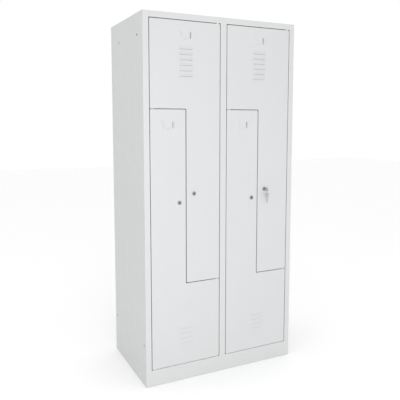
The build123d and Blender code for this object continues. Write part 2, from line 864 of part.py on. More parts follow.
with BuildSketch() as key_outline:
    with Locations((neck_length + bow_length / 2, 0)):
        RectangleRounded(bow_length, bow_width, bow_corner_radius)
    strips(
        (0, neck_length + bow_corner_radius, -neck_width / 2, neck_width / 2),
        (-blade_length, 0, -blade_width / 2, blade_width / 2),
    )
    chamfer(nearest(key_outline, -blade_length, blade_width / 2), blade_tip)
    chamfer(nearest(key_outline, -blade_length, -blade_width / 2), blade_tip)
    notch_pitch = blade_length / (notch_count + 1)
    notch_places = [(-notch_pitch * (step + 1), blade_width / 2) for step in range(notch_count)]
    with Locations(*notch_places):
        RegularPolygon(notch_depth, 4, mode=Mode.SUBTRACT)
    with Locations((key_hole_reach, 0)):
        Circle(key_hole_radius, mode=Mode.SUBTRACT)

with BuildPart() as key:
    with BuildSketch(Plane(origin=(key_x, shoulder_y, key_z), x_dir=(0, -1, 0), z_dir=(1, 0, 0))):
        add(key_outline.sketch)
    extrude(amount=key_thickness / 2, both=True)
finish(key, "key")

with BuildPart() as spare_key:
    spare_origin = (key_x, ring_y, spare_hole_z - key_hole_reach)
    with BuildSketch(Plane(origin=spare_origin, x_dir=(0, 0, 1), z_dir=(0, -1, 0))):
        add(key_outline.sketch)
    extrude(amount=key_thickness / 2, both=True)
finish(spare_key, "spare_key")

with BuildPart() as key_ring:
    ring_face = Vector(1, 0, 0).rotate(Axis.Z, ring_turn)
    with Locations(Plane(origin=(key_x, ring_y, ring_z), x_dir=(0, 0, 1), z_dir=ring_face)):
        Torus(ring_radius, ring_wire_radius)
finish(key_ring, "key_ring")
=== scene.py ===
"""Dresses a two column Z locker: powder coat, locks, keys, coat hooks, spot welds and the studio."""

import json
import math

import bmesh
import bpy
from bpy.props import (
    FloatProperty,
    FloatVectorProperty,
    IntProperty,
    PointerProperty,
)
from bpy.types import Operator, Panel, PropertyGroup
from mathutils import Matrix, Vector


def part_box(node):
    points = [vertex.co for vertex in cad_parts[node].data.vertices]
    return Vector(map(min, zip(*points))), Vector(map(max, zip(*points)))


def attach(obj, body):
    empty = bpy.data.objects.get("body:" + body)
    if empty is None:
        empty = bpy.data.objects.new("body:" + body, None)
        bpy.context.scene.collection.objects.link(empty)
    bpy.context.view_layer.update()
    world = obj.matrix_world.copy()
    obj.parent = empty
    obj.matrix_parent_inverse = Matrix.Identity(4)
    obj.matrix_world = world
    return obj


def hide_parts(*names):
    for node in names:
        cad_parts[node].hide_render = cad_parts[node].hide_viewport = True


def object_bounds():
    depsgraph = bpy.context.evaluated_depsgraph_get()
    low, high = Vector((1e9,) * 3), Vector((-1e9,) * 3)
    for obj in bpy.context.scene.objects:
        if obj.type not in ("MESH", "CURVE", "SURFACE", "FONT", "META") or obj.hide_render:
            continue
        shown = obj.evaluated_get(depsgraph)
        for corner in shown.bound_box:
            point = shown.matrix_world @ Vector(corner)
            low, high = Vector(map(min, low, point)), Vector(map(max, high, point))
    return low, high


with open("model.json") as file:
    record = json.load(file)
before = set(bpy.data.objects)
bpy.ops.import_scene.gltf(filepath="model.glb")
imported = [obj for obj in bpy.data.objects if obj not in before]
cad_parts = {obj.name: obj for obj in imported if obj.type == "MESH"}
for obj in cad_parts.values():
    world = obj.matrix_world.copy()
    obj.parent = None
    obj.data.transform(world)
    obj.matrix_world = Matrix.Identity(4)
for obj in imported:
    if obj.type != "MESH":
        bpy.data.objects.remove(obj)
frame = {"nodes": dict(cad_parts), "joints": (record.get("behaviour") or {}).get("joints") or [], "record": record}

bl_info = {
    "name": "Z locker finishes",
    "version": (1, 0, 0),
    "blender": (4, 5, 0),
    "location": "3D View > Sidebar > Locker",
    "description": "Finishes, small fastenings and studio for a steel Z locker",
    "category": "Object",
}

PLACES = ("upper_left", "lower_left", "upper_right", "lower_right")
CAD_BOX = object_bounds()
UP = Vector((0, 0, 1))
BACKWARD = Vector((0, 1, 0))

# Patterns in the finishes: sizes and depths in metres, tones and gloss as shares

NOISE_SPAN = (0.3, 0.7)      # nearly all values of a noise lie between these

# Powder coat
CLOUD_SIZE = 0.35
CLOUD_TONES = (0.985, 1.0)
FLECK_SIZE = 0.004
FLECK_TONES = (0.992, 1.0)
# Painted shade in gaps and crevices: how open the surface is, and how far the coat is darkened from the open
# surface to the deepest gap
GAP_SHADE_SPAN = (0.15, 0.85)
GAP_SHADE_TONES = (0.78, 1.0)
SHEEN_SIZE = 0.06
SHEEN_BELOW = 0.04
SHEEN_ABOVE = 0.05

# Turned faces of the locks
TURNED_RINGS = 420
TURNED_WOBBLE = 0.6
TURNED_DEPTH = 0.000012
TURNED_WEAR_SIZE = 0.004
TURNED_WEAR_TONES = (0.8, 1.25)
TURNED_SHEEN_SIZE = 0.0015
TURNED_ROUGHNESS = (0.44, 0.58)

# Plated steel
SCRATCH_SIZE = 0.0004
SCRATCH_DEPTH = 0.000006
BLOTCH_SIZE = 0.006
BLOTCH_TONES = (0.86, 1.08)
PLATED_ROUGHNESS = (0.22, 0.36)
KEY_ROUGHNESS = (0.18, 0.34)
NO_GRAIN = (1, 1, 1)
RAIL_GRAIN = (80, 1, 1)
CAM_GRAIN = (1, 1, 30)
KEY_GRAIN = (1, 12, 12)

# Moulded plastic and rubber
MOULD_GRAIN_SIZE = 0.0006
MOULD_GRAIN_DEPTH = 0.00003
MOULD_SHADE_SIZE = 0.01
MOULD_SHADE_TONES = (0.92, 1.06)
MOULD_SHEEN_SIZE = 0.003
MOULD_SHEEN_STEP = 0.06
MOULD_SPECULAR = 0.45
HOOK_ROUGHNESS = 0.42
CUP_ROUGHNESS = 0.5
BUSH_ROUGHNESS = 0.42
RUBBER_ROUGHNESS = 0.72

# Floor
FLOOR_CLOUD_SIZE = 0.8
FLOOR_CLOUD_TONES = (0.995, 1.0)
FLOOR_ROUGHNESS = 0.6
FLOOR_SPECULAR = 0.2

# Rays that look for gaps and for edges
SHADE_SAMPLES = 8
EDGE_SAMPLES = 4

# Shapes of the pieces made here

MERGE_DISTANCE = 0.000002
FLAT_ANGLE = math.radians(1)
EDGE_ANGLE = math.radians(30)
ROUNDED_CREASE = math.radians(28)
TURNED_CREASE = math.radians(32)
EDGE_STEPS = 2
HOOK_EDGE_STEPS = 3
SCREW_SIDES = 28
RING_STEPS = 48
WIRE_SIDES = 12

# The outline of a screw's head from its rim to its socket, as shares of its radius and height

SCREW_OUTLINE = ((1, 0), (1, 0.45), (0.93, 0.75), (0.78, 0.94), (0.6, 1), (0.4, 1), (0.34, 0.4))


# Settings a user would change


class LOCKER_PG_studio(PropertyGroup):
    """Camera, lights and floor."""

    camera_place: FloatVectorProperty(
        name="Camera place", description="Where the camera stands",
        default=(-1.2262, -2.496, 1.292), subtype="TRANSLATION", unit="LENGTH",
    )
    camera_turn: FloatProperty(
        name="Camera turn", description="How far the camera looks round to the right",
        default=math.radians(26.025), subtype="ANGLE",
    )
    camera_tilt: FloatProperty(
        name="Camera tilt", description="How far the camera looks down",
        default=math.radians(6.005), subtype="ANGLE",
    )
    camera_lens: FloatProperty(
        name="Lens", description="Focal length of the lens in millimetres", default=45.936,
    )
    camera_rise: FloatProperty(
        name="Rise", description="Shift of the lens as a share of the picture",
        default=-0.06, subtype="FACTOR",
    )
    backdrop_glow: FloatProperty(
        name="Backdrop glow", description="Brightness of the white backdrop as the camera sees it",
        default=1.0,
    )
    room_glow: FloatProperty(
        name="Room glow", description="Strength of the soft light from all round", default=0.99,
    )
    key_power: FloatProperty(
        name="Key light", description="Power of the large soft box in front", default=42.0, unit="POWER",
    )
    key_place: FloatVectorProperty(
        name="Key place", description="Where the large soft box stands",
        default=(-0.95, -3.3, 0.95), subtype="TRANSLATION", unit="LENGTH",
    )
    key_size: FloatProperty(
        name="Key size", description="Width of the large soft box", default=2.0, unit="LENGTH",
    )
    top_power: FloatProperty(
        name="Top light", description="Power of the soft box overhead", default=3.0, unit="POWER",
    )
    top_place: FloatVectorProperty(
        name="Top place", description="Where the soft box overhead hangs",
        default=(0.1, 0.9, 4.2), subtype="TRANSLATION", unit="LENGTH",
    )
    top_size: FloatProperty(
        name="Top size", description="Width of the soft box overhead", default=2.6, unit="LENGTH",
    )
    side_power: FloatProperty(
        name="Side light", description="Power of the soft box high on the left", default=3.3, unit="POWER",
    )
    side_place: FloatVectorProperty(
        name="Side place", description="Where the soft box high on the left stands",
        default=(-2.2, -1.4, 2.6), subtype="TRANSLATION", unit="LENGTH",
    )
    side_size: FloatProperty(
        name="Side size", description="Width of the soft box high on the left", default=1.2, unit="LENGTH",
    )
    floor_tone: FloatVectorProperty(
        name="Floor tone", description="Colour of the plain floor",
        default=(0.992, 0.992, 0.992), subtype="COLOR", size=3,
    )
    floor_size: FloatProperty(
        name="Floor size", description="Width of the plain floor", default=24.0, unit="LENGTH",
    )


class LOCKER_PG_paint(PropertyGroup):
    """Powder coat on the folded sheet."""

    body_tone: FloatVectorProperty(
        name="Carcass tone", description="Colour of the coat on the carcass",
        default=(0.545, 0.551, 0.553), subtype="COLOR", size=3,
    )
    door_tone: FloatVectorProperty(
        name="Door tone", description="Colour of the coat on the doors",
        default=(0.541, 0.549, 0.554), subtype="COLOR", size=3,
    )
    inner_tone: FloatVectorProperty(
        name="Inner tone", description="Colour of the thinner coat inside",
        default=(0.53, 0.538, 0.54), subtype="COLOR", size=3,
    )
    gloss_loss: FloatProperty(
        name="Roughness", description="Roughness of the coat", default=0.38, subtype="FACTOR",
    )
    peel_size: FloatProperty(
        name="Orange peel", description="Size of the ripples in the coat", default=0.0022, unit="LENGTH",
    )
    peel_depth: FloatProperty(
        name="Peel depth", description="Depth of the ripples in the coat", default=0.00003, unit="LENGTH",
    )
    wave_size: FloatProperty(
        name="Wave size", description="Length of the slight waves in the flat sheet",
        default=0.18, unit="LENGTH",
    )
    wave_depth: FloatProperty(
        name="Wave depth", description="Depth of the slight waves in the flat sheet",
        default=0.0006, unit="LENGTH",
    )
    fold_round: FloatProperty(
        name="Fold round", description="Radius that the coat gives to folds and pressings",
        default=0.0007, unit="LENGTH",
    )
    # Painted shade: how far the darkening of the coat reaches out of gaps and crevices
    gap_shade_reach: FloatProperty(
        name="Gap shade reach", description="How far dust and shade creep out of gaps",
        default=0.004, unit="LENGTH",
    )


class LOCKER_PG_hardware(PropertyGroup):
    """Locks, keys, rails and other fittings."""

    lock_tone: FloatVectorProperty(
        name="Lock tone", description="Colour of the turned rims of the locks",
        default=(0.36, 0.36, 0.365), subtype="COLOR", size=3,
    )
    plug_tone: FloatVectorProperty(
        name="Plug tone", description="Colour of the turned plugs of the locks",
        default=(0.17, 0.17, 0.175), subtype="COLOR", size=3,
    )
    key_tone: FloatVectorProperty(
        name="Key tone", description="Colour of the plated keys",
        default=(0.52, 0.52, 0.515), subtype="COLOR", size=3,
    )
    steel_tone: FloatVectorProperty(
        name="Steel tone", description="Colour of zinc plated steel",
        default=(0.56, 0.56, 0.57), subtype="COLOR", size=3,
    )
    hook_tone: FloatVectorProperty(
        name="Hook tone", description="Colour of the moulded hooks",
        default=(0.035, 0.036, 0.038), subtype="COLOR", size=3,
    )
    cup_tone: FloatVectorProperty(
        name="Cup tone", description="Colour of the cups at the ends of the rails",
        default=(0.33, 0.335, 0.34), subtype="COLOR", size=3,
    )
    bush_tone: FloatVectorProperty(
        name="Bush tone", description="Colour of the bushes round the pivot pins",
        default=(0.72, 0.72, 0.69), subtype="COLOR", size=3,
    )
    rubber_tone: FloatVectorProperty(
        name="Rubber tone", description="Colour of the buffers behind the doors",
        default=(0.022, 0.022, 0.022), subtype="COLOR", size=3,
    )
    edge_round: FloatProperty(
        name="Edge round", description="Radius on the edges of keys, cams and nuts",
        default=0.00022, unit="LENGTH",
    )
    hook_round: FloatProperty(
        name="Hook round", description="Radius on the edges of the moulded hooks",
        default=0.0012, unit="LENGTH",
    )
    ring_turns: FloatProperty(
        name="Ring turns", description="Turns of wire in the split key ring", default=2.0,
    )
    ring_wire: FloatProperty(
        name="Ring wire", description="Half the thickness of the flat wire in the key ring",
        default=0.0004, unit="LENGTH",
    )
    ring_flat: FloatProperty(
        name="Ring flat", description="Half the width of the flat wire in the key ring",
        default=0.00085, unit="LENGTH",
    )
    screw_radius: FloatProperty(
        name="Screw radius", description="Radius of the head of the screw that holds a cam",
        default=0.0042, unit="LENGTH",
    )
    screw_height: FloatProperty(
        name="Screw height", description="Height of the head of the screw that holds a cam",
        default=0.0022, unit="LENGTH",
    )


class LOCKER_PG_welds(PropertyGroup):
    """Spot welds along the flanges."""

    pitch: FloatProperty(
        name="Pitch", description="Distance from one spot weld to the next", default=0.075, unit="LENGTH",
    )
    radius: FloatProperty(
        name="Radius", description="Radius of a spot weld", default=0.0026, unit="LENGTH",
    )
    height: FloatProperty(
        name="Height", description="How far a spot weld stands proud", default=0.00018, unit="LENGTH",
    )
    crown_share: FloatProperty(
        name="Crown share", description="Radius of a spot weld's crown as a share of its foot",
        default=0.6, subtype="FACTOR",
    )
    sides: IntProperty(
        name="Sides", description="Sides of a spot weld's outline", default=16, min=6,
    )
    edge_space: FloatProperty(
        name="Edge space", description="Distance of a row of welds from the edge of its flange",
        default=0.0065, unit="LENGTH",
    )
    end_space: FloatProperty(
        name="End space", description="Distance of the last weld from the end of its flange",
        default=0.03, unit="LENGTH",
    )


# Node trees for the finishes


class Finish:
    """A material under construction, with short ways to add and join its nodes."""

    def __init__(self, name):
        self.material = bpy.data.materials.new(name)
        self.material.use_nodes = True
        self.nodes = self.material.node_tree.nodes
        self.links = self.material.node_tree.links
        self.shader = self.nodes["Principled BSDF"]
        self.place = self.nodes.new("ShaderNodeTexCoord").outputs["Object"]

    def join(self, source, target):
        """Feed a socket from another socket, or set it to a plain value."""
        if isinstance(source, bpy.types.NodeSocket):
            self.links.new(source, target)
        else:
            target.default_value = source

    def noise(self, size, detail=2.0, place=None):
        """Cloudy values whose blobs are about as wide as the given length."""
        node = self.nodes.new("ShaderNodeTexNoise")
        node.inputs["Scale"].default_value = 1 / size
        node.inputs["Detail"].default_value = detail
        self.join(place or self.place, node.inputs["Vector"])
        return node.outputs["Fac"]

    def stretched(self, stretch, start=(0, 0, 0)):
        """The place, measured from a start and stretched along each axis."""
        node = self.nodes.new("ShaderNodeMapping")
        node.vector_type = "TEXTURE"
        node.inputs["Location"].default_value = start
        node.inputs["Scale"].default_value = stretch
        self.join(self.place, node.inputs["Vector"])
        return node.outputs["Vector"]

    def spread(self, value, target, span=NOISE_SPAN):
        """Values that lie in a span, spread over a target range."""
        node = self.nodes.new("ShaderNodeMapRange")
        self.join(value, node.inputs["Value"])
        node.inputs["From Min"].default_value, node.inputs["From Max"].default_value = span
        node.inputs["To Min"].default_value, node.inputs["To Max"].default_value = target
        return node.outputs["Result"]

    def times(self, first, second):
        """One value times another."""
        node = self.nodes.new("ShaderNodeMath")
        node.operation = "MULTIPLY"
        self.join(first, node.inputs[0])
        self.join(second, node.inputs[1])
        return node.outputs[0]

    def shaded(self, tone, factor):
        """A tone darkened by a factor from nodes."""
        node = self.nodes.new("ShaderNodeVectorMath")
        node.operation = "SCALE"
        node.inputs[0].default_value = tone
        self.join(factor, node.inputs["Scale"])
        return node.outputs["Vector"]

    def crevice(self, reach):
        """How open the surface is within a reach, from 0 in a gap to 1 in the open."""
        node = self.nodes.new("ShaderNodeAmbientOcclusion")
        node.samples = SHADE_SAMPLES
        node.inputs["Distance"].default_value = reach
        return node.outputs["AO"]

    def ripple(self, height, depth, below=None):
        """Turn a height pattern into bumps of a depth in metres, over the bumps below it."""
        node = self.nodes.new("ShaderNodeBump")
        node.inputs["Distance"].default_value = depth
        self.join(height, node.inputs["Height"])
        if below:
            self.join(below, node.inputs["Normal"])
        self.join(node.outputs["Normal"], self.shader.inputs["Normal"])
        return node.outputs["Normal"]

    def soft_edges(self, radius):
        """Normals that run smoothly round the edges of folded and pressed sheet."""
        node = self.nodes.new("ShaderNodeBevel")
        node.samples = EDGE_SAMPLES
        node.inputs["Radius"].default_value = radius
        return node.outputs["Normal"]

    def surface(self, colour, roughness, metallic=0.0, specular=0.5):
        """Set the shader's main sockets and give back the material."""
        self.join(colour, self.shader.inputs["Base Color"])
        self.join(roughness, self.shader.inputs["Roughness"])
        self.shader.inputs["Metallic"].default_value = metallic
        self.shader.inputs["Specular IOR Level"].default_value = specular
        return self.material


def powder_coat(name, tone, paint):
    """Smooth powder coat with a faint orange peel, slight clouding and painted shade in its gaps."""
    coat = Finish(name)
    clouding = coat.spread(coat.noise(CLOUD_SIZE, detail=3), CLOUD_TONES)
    flecks = coat.spread(coat.noise(FLECK_SIZE), FLECK_TONES)
    # Painted shade: the coat colour is darkened where ambient occlusion finds a gap or crevice
    gap_shade = coat.spread(coat.crevice(paint.gap_shade_reach), GAP_SHADE_TONES, GAP_SHADE_SPAN)
    colour = coat.shaded(tone, coat.times(coat.times(clouding, flecks), gap_shade))
    gloss_range = (paint.gloss_loss - SHEEN_BELOW, paint.gloss_loss + SHEEN_ABOVE)
    roughness = coat.spread(coat.noise(SHEEN_SIZE), gloss_range)
    folds = coat.soft_edges(paint.fold_round)
    waves = coat.ripple(coat.noise(paint.wave_size, detail=1), paint.wave_depth, folds)
    coat.ripple(coat.noise(paint.peel_size, detail=1), paint.peel_depth, waves)
    return coat.surface(colour, roughness)


def turned_metal(name, tone, centre):
    """Dark die cast face with fine rings turned about its own centre."""
    metal = Finish(name)
    rings = metal.nodes.new("ShaderNodeTexWave")
    rings.wave_type = "RINGS"
    rings.rings_direction = "Y"
    rings.inputs["Scale"].default_value = TURNED_RINGS
    rings.inputs["Distortion"].default_value = TURNED_WOBBLE
    metal.join(metal.stretched(NO_GRAIN, centre), rings.inputs["Vector"])
    wear = metal.spread(metal.noise(TURNED_WEAR_SIZE, detail=4), TURNED_WEAR_TONES)
    metal.ripple(rings.outputs["Fac"], TURNED_DEPTH)
    roughness = metal.spread(metal.noise(TURNED_SHEEN_SIZE), TURNED_ROUGHNESS)
    return metal.surface(metal.shaded(tone, wear), roughness, metallic=1.0)


def plated_steel(name, tone, grain=NO_GRAIN, gloss_range=PLATED_ROUGHNESS):
    """Plated steel with short scratches along its grain and a slightly blotchy sheen."""
    metal = Finish(name)
    scratches = metal.noise(SCRATCH_SIZE, detail=3, place=metal.stretched(grain))
    blotches = metal.spread(metal.noise(BLOTCH_SIZE, detail=4), BLOTCH_TONES)
    metal.ripple(scratches, SCRATCH_DEPTH)
    roughness = metal.spread(scratches, gloss_range)
    return metal.surface(metal.shaded(tone, blotches), roughness, metallic=1.0)


def moulded_plastic(name, tone, roughness):
    """Moulded plastic with a fine spark eroded grain."""
    plastic = Finish(name)
    plastic.ripple(plastic.noise(MOULD_GRAIN_SIZE), MOULD_GRAIN_DEPTH)
    shade = plastic.spread(plastic.noise(MOULD_SHADE_SIZE, detail=3), MOULD_SHADE_TONES)
    gloss_range = (roughness - MOULD_SHEEN_STEP, roughness + MOULD_SHEEN_STEP)
    gloss = plastic.spread(plastic.noise(MOULD_SHEEN_SIZE), gloss_range)
    return plastic.surface(plastic.shaded(tone, shade), gloss, specular=MOULD_SPECULAR)


# Meshes


def new_piece(name, mesh, body, slot, material, *stands_for):
    """Link a finished mesh as a named piece of a body, with its finish and the nodes it stands for."""
    mesh.name = name
    piece = bpy.data.objects.new(name, mesh)
    bpy.context.scene.collection.objects.link(piece)
    mesh.materials.clear()
    mesh.materials.append(material)
    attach(piece, body)
    if stands_for:
        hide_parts(*stands_for)


def rounded_copy(node, radius, steps=EDGE_STEPS):
    """A node's mesh with its points merged, its flat faces whole and its sharp edges rounded."""
    mesh = bpy.data.meshes.new(node)
    shape = bmesh.new()
    shape.from_mesh(frame["nodes"][node].data)
    bmesh.ops.remove_doubles(shape, verts=shape.verts, dist=MERGE_DISTANCE)
    bmesh.ops.dissolve_limit(shape, angle_limit=FLAT_ANGLE, verts=shape.verts, edges=shape.edges)
    sharp = [
        edge for edge in shape.edges
        if len(edge.link_faces) == 2 and edge.calc_face_angle(0) > EDGE_ANGLE
    ]
    bmesh.ops.bevel(
        shape, geom=sharp, offset=radius, segments=steps, profile=0.5, affect="EDGES", clamp_overlap=True,
    )
    for face in shape.faces:
        face.smooth = True
    shape.to_mesh(mesh)
    shape.free()
    mesh.set_sharp_from_angle(angle=ROUNDED_CREASE)
    return mesh


def turned(profile, centre, axis, sides):
    """A closed mesh of revolution: radii and heights about a centre, along an axis."""
    mesh = bpy.data.meshes.new("turned")
    shape = bmesh.new()
    turn = axis.to_track_quat("Z", "Y")
    rings = []
    for radius, height in profile:
        ring = []
        for step in range(sides):
            angle = 2 * math.pi * step / sides
            spot = Vector((radius * math.cos(angle), radius * math.sin(angle), height))
            ring.append(shape.verts.new(centre + turn @ spot))
        rings.append(ring)
    for below, above in zip(rings, rings[1:]):
        for step in range(sides):
            after = (step + 1) % sides
            shape.faces.new((below[step], below[after], above[after], above[step]))
    shape.faces.new(reversed(rings[0]))
    shape.faces.new(rings[-1])
    bmesh.ops.recalc_face_normals(shape, faces=shape.faces)
    for face in shape.faces:
        face.smooth = True
    shape.to_mesh(mesh)
    shape.free()
    mesh.set_sharp_from_angle(angle=TURNED_CREASE)
    return mesh


# Geometry node trees


class Tree:
    """A geometry node tree under construction."""

    def __init__(self, name):
        self.group = bpy.data.node_groups.new(name, "GeometryNodeTree")
        self.group.interface.new_socket("Geometry", in_out="INPUT", socket_type="NodeSocketGeometry")
        self.group.interface.new_socket("Geometry", in_out="OUTPUT", socket_type="NodeSocketGeometry")
        self.entry = self.group.nodes.new("NodeGroupInput")
        self.exit = self.group.nodes.new("NodeGroupOutput")
        self.keys = {}

    def size(self, name, kind="NodeSocketFloat"):
        """Add a named input and give back the socket that carries it inside the tree."""
        item = self.group.interface.new_socket(name, in_out="INPUT", socket_type=kind)
        self.keys[name] = item.identifier
        return self.entry.outputs[name]

    def node(self, kind, **inputs):
        """Add a node, with its inputs fed from sockets or set to values."""
        node = self.group.nodes.new(kind)
        for name, value in inputs.items():
            self.feed(node, name.replace("_", " "), value)
        return node

    def feed(self, node, name, value):
        """Feed one input of a node."""
        if isinstance(value, bpy.types.NodeSocket):
            self.group.links.new(value, node.inputs[name])
        else:
            node.inputs[name].default_value = value

    def end(self, geometry, material):
        """Close the tree with real geometry that has its material."""
        whole = self.node("GeometryNodeRealizeInstances", Geometry=geometry)
        painted = self.node("GeometryNodeSetMaterial", Geometry=whole.outputs[0], Material=material)
        self.group.links.new(painted.outputs[0], self.exit.inputs[0])

    def grow(self, seed, **sizes):
        """Run the tree on a seed mesh and give back the result as a plain mesh."""
        carrier = bpy.data.objects.new(self.group.name, seed)
        bpy.context.scene.collection.objects.link(carrier)
        modifier = carrier.modifiers.new(self.group.name, "NODES")
        modifier.node_group = self.group
        for name, value in sizes.items():
            modifier[self.keys[name.replace("_", " ")]] = value
        bpy.context.view_layer.update()
        ready = carrier.evaluated_get(bpy.context.evaluated_depsgraph_get())
        mesh = bpy.data.meshes.new_from_object(ready)
        carrier.modifiers.remove(modifier)
        bpy.data.objects.remove(carrier)
        return mesh


def weld_tree():
    """Low round spots set at a pitch along each edge of the seed mesh, facing the back."""
    tree = Tree("Spot weld rows")
    pitch = tree.size("Pitch")
    radius = tree.size("Radius")
    height = tree.size("Height")
    sides = tree.size("Sides", "NodeSocketInt")
    crown = tree.size("Crown share")
    material = tree.size("Material", "NodeSocketMaterial")
    rows = tree.node("GeometryNodeMeshToCurve", Mesh=tree.entry.outputs[0])
    spaced = tree.node("GeometryNodeResampleCurve", Curve=rows.outputs[0])
    spaced.mode = "LENGTH"
    tree.feed(spaced, "Length", pitch)
    crown_radius = tree.node("ShaderNodeMath")
    crown_radius.operation = "MULTIPLY"
    tree.feed(crown_radius, 0, radius)
    tree.feed(crown_radius, 1, crown)
    spot = tree.node(
        "GeometryNodeMeshCone", Vertices=sides, Radius_Top=crown_radius.outputs[0],
        Radius_Bottom=radius, Depth=height,
    )
    placed = tree.node(
        "GeometryNodeInstanceOnPoints", Points=spaced.outputs[0], Instance=spot.outputs[0],
        Rotation=BACKWARD.to_track_quat("Z", "X").to_euler(),
    )
    tree.end(placed.outputs[0], material)
    return tree


def ring_tree():
    """A split ring: a wire that winds round a centre."""
    tree = Tree("Split ring")
    turns = tree.size("Turns")
    radius = tree.size("Radius")
    wire = tree.size("Wire")
    flat = tree.size("Flat")
    spread = tree.size("Spread")
    centre = tree.size("Centre", "NodeSocketVector")
    turn = tree.size("Turn", "NodeSocketVector")
    material = tree.size("Material", "NodeSocketMaterial")
    line = tree.node(
        "GeometryNodeCurveSpiral", Resolution=RING_STEPS, Rotations=turns, Start_Radius=radius,
        End_Radius=radius, Height=spread,
    )
    round_wire = tree.node("GeometryNodeCurvePrimitiveCircle", Resolution=WIRE_SIDES, Radius=1)
    squash = tree.node("ShaderNodeCombineXYZ", X=flat, Y=wire, Z=1)
    section = tree.node("GeometryNodeTransform", Geometry=round_wire.outputs[0], Scale=squash.outputs[0])
    level = tree.node("GeometryNodeSetCurveNormal", Curve=line.outputs[0])
    level.mode = "Z_UP"
    coil = tree.node(
        "GeometryNodeCurveToMesh", Curve=level.outputs[0], Profile_Curve=section.outputs[0], Fill_Caps=True,
    )
    centred = tree.node("ShaderNodeVectorMath")
    centred.operation = "SCALE"
    tree.feed(centred, 0, UP)
    half = tree.node("ShaderNodeMath")
    half.operation = "MULTIPLY"
    tree.feed(half, 0, spread)
    tree.feed(half, 1, -0.5)
    tree.feed(centred, "Scale", half.outputs[0])
    balanced = tree.node("GeometryNodeTransform", Geometry=coil.outputs[0], Translation=centred.outputs[0])
    placed = tree.node(
        "GeometryNodeTransform", Geometry=balanced.outputs[0], Translation=centre, Rotation=turn,
    )
    smooth = tree.node("GeometryNodeSetShadeSmooth", Geometry=placed.outputs[0])
    tree.end(smooth.outputs[0], material)
    return tree


def row_mesh(rows):
    """A seed mesh with one edge from the start to the end of each row."""
    mesh = bpy.data.meshes.new("rows")
    points = [spot for row in rows for spot in row]
    mesh.from_pydata(points, [(2 * step, 2 * step + 1) for step in range(len(rows))], [])
    return mesh


# Stage


def look_at(lamp, target):
    """Turn a lamp to face a point."""
    lamp.rotation_euler = (target - lamp.location).to_track_quat("-Z", "Y").to_euler()


def soft_box(name, place, width, power, target):
    """A square area light aimed at a point."""
    light = bpy.data.lights.new(name, "AREA")
    light.size = width
    light.energy = power
    lamp = bpy.data.objects.new(name, light)
    bpy.context.scene.collection.objects.link(lamp)
    lamp.location = place
    look_at(lamp, target)


def backdrop(studio):
    """A plain white room that lights the locker softly."""
    world = bpy.data.worlds.new("White room")
    bpy.context.scene.world = world
    world.use_nodes = True
    nodes = world.node_tree.nodes
    links = world.node_tree.links
    glow = nodes["Background"]
    glow.inputs["Color"].default_value = (1, 1, 1, 1)
    rays = nodes.new("ShaderNodeLightPath")
    strength = nodes.new("ShaderNodeMapRange")
    links.new(rays.outputs["Is Camera Ray"], strength.inputs["Value"])
    strength.inputs["To Min"].default_value = studio.room_glow
    strength.inputs["To Max"].default_value = studio.backdrop_glow
    links.new(strength.outputs["Result"], glow.inputs["Strength"])


def floor_piece(studio):
    """A plain pale floor under the locker."""
    half = studio.floor_size / 2
    mesh = bpy.data.meshes.new("studio_floor")
    corners = [(-half, -half, 0), (half, -half, 0), (half, half, 0), (-half, half, 0)]
    mesh.from_pydata(corners, [], [(0, 1, 2, 3)])
    pale = Finish("Plain floor")
    shade = pale.spread(pale.noise(FLOOR_CLOUD_SIZE), FLOOR_CLOUD_TONES)
    tone = pale.shaded(studio.floor_tone, shade)
    mesh.materials.append(pale.surface(tone, FLOOR_ROUGHNESS, specular=FLOOR_SPECULAR))
    floor = bpy.data.objects.new("studio_floor", mesh)
    bpy.context.scene.collection.objects.link(floor)


def camera(studio):
    """The camera, upright, turned to the right and tilted down a little."""
    data = bpy.data.cameras.new("Camera")
    data.lens = studio.camera_lens
    data.shift_y = studio.camera_rise
    viewer = bpy.data.objects.new("Camera", data)
    bpy.context.scene.collection.objects.link(viewer)
    viewer.location = studio.camera_place
    viewer.rotation_euler = (math.pi / 2 - studio.camera_tilt, 0, -studio.camera_turn)
    bpy.context.scene.camera = viewer


class LOCKER_OT_stage(Operator):
    """Set up the camera, the lights, the backdrop and the floor"""

    bl_idname = "locker.stage"
    bl_label = "Stage"

    def execute(self, context):
        studio = context.scene.locker_studio
        low, high = CAD_BOX
        middle = (low + high) / 2
        crown = Vector((middle.x, middle.y, high.z))
        camera(studio)
        backdrop(studio)
        floor_piece(studio)
        soft_box("Key light", studio.key_place, studio.key_size, studio.key_power, middle)
        soft_box("Top light", studio.top_place, studio.top_size, studio.top_power, crown)
        soft_box("Side light", studio.side_place, studio.side_size, studio.side_power, crown)
        context.scene.view_settings.view_transform = "Standard"
        return {"FINISHED"}


# Finishes of the frame's own nodes


def paint_nodes(names, material):
    """Give a finish to nodes by name."""
    for name in names:
        node = frame["nodes"][name]
        node.data.materials.clear()
        node.data.materials.append(material)


def slot_nodes(slot):
    """The names of the nodes that the record gives a slot."""
    return [part["node"] for part in frame["record"]["subparts"] if part["material_slot"] == slot]


class LOCKER_OT_paint(Operator):
    """Powder coat the carcass, the doors and the inside"""

    bl_idname = "locker.paint"
    bl_label = "Powder coat"

    def execute(self, context):
        paint = context.scene.locker_paint
        paint_nodes(slot_nodes("carcass_paint"), powder_coat("Carcass coat", paint.body_tone, paint))
        paint_nodes(slot_nodes("door_paint"), powder_coat("Door coat", paint.door_tone, paint))
        paint_nodes(slot_nodes("inner_paint"), powder_coat("Inner coat", paint.inner_tone, paint))
        return {"FINISHED"}


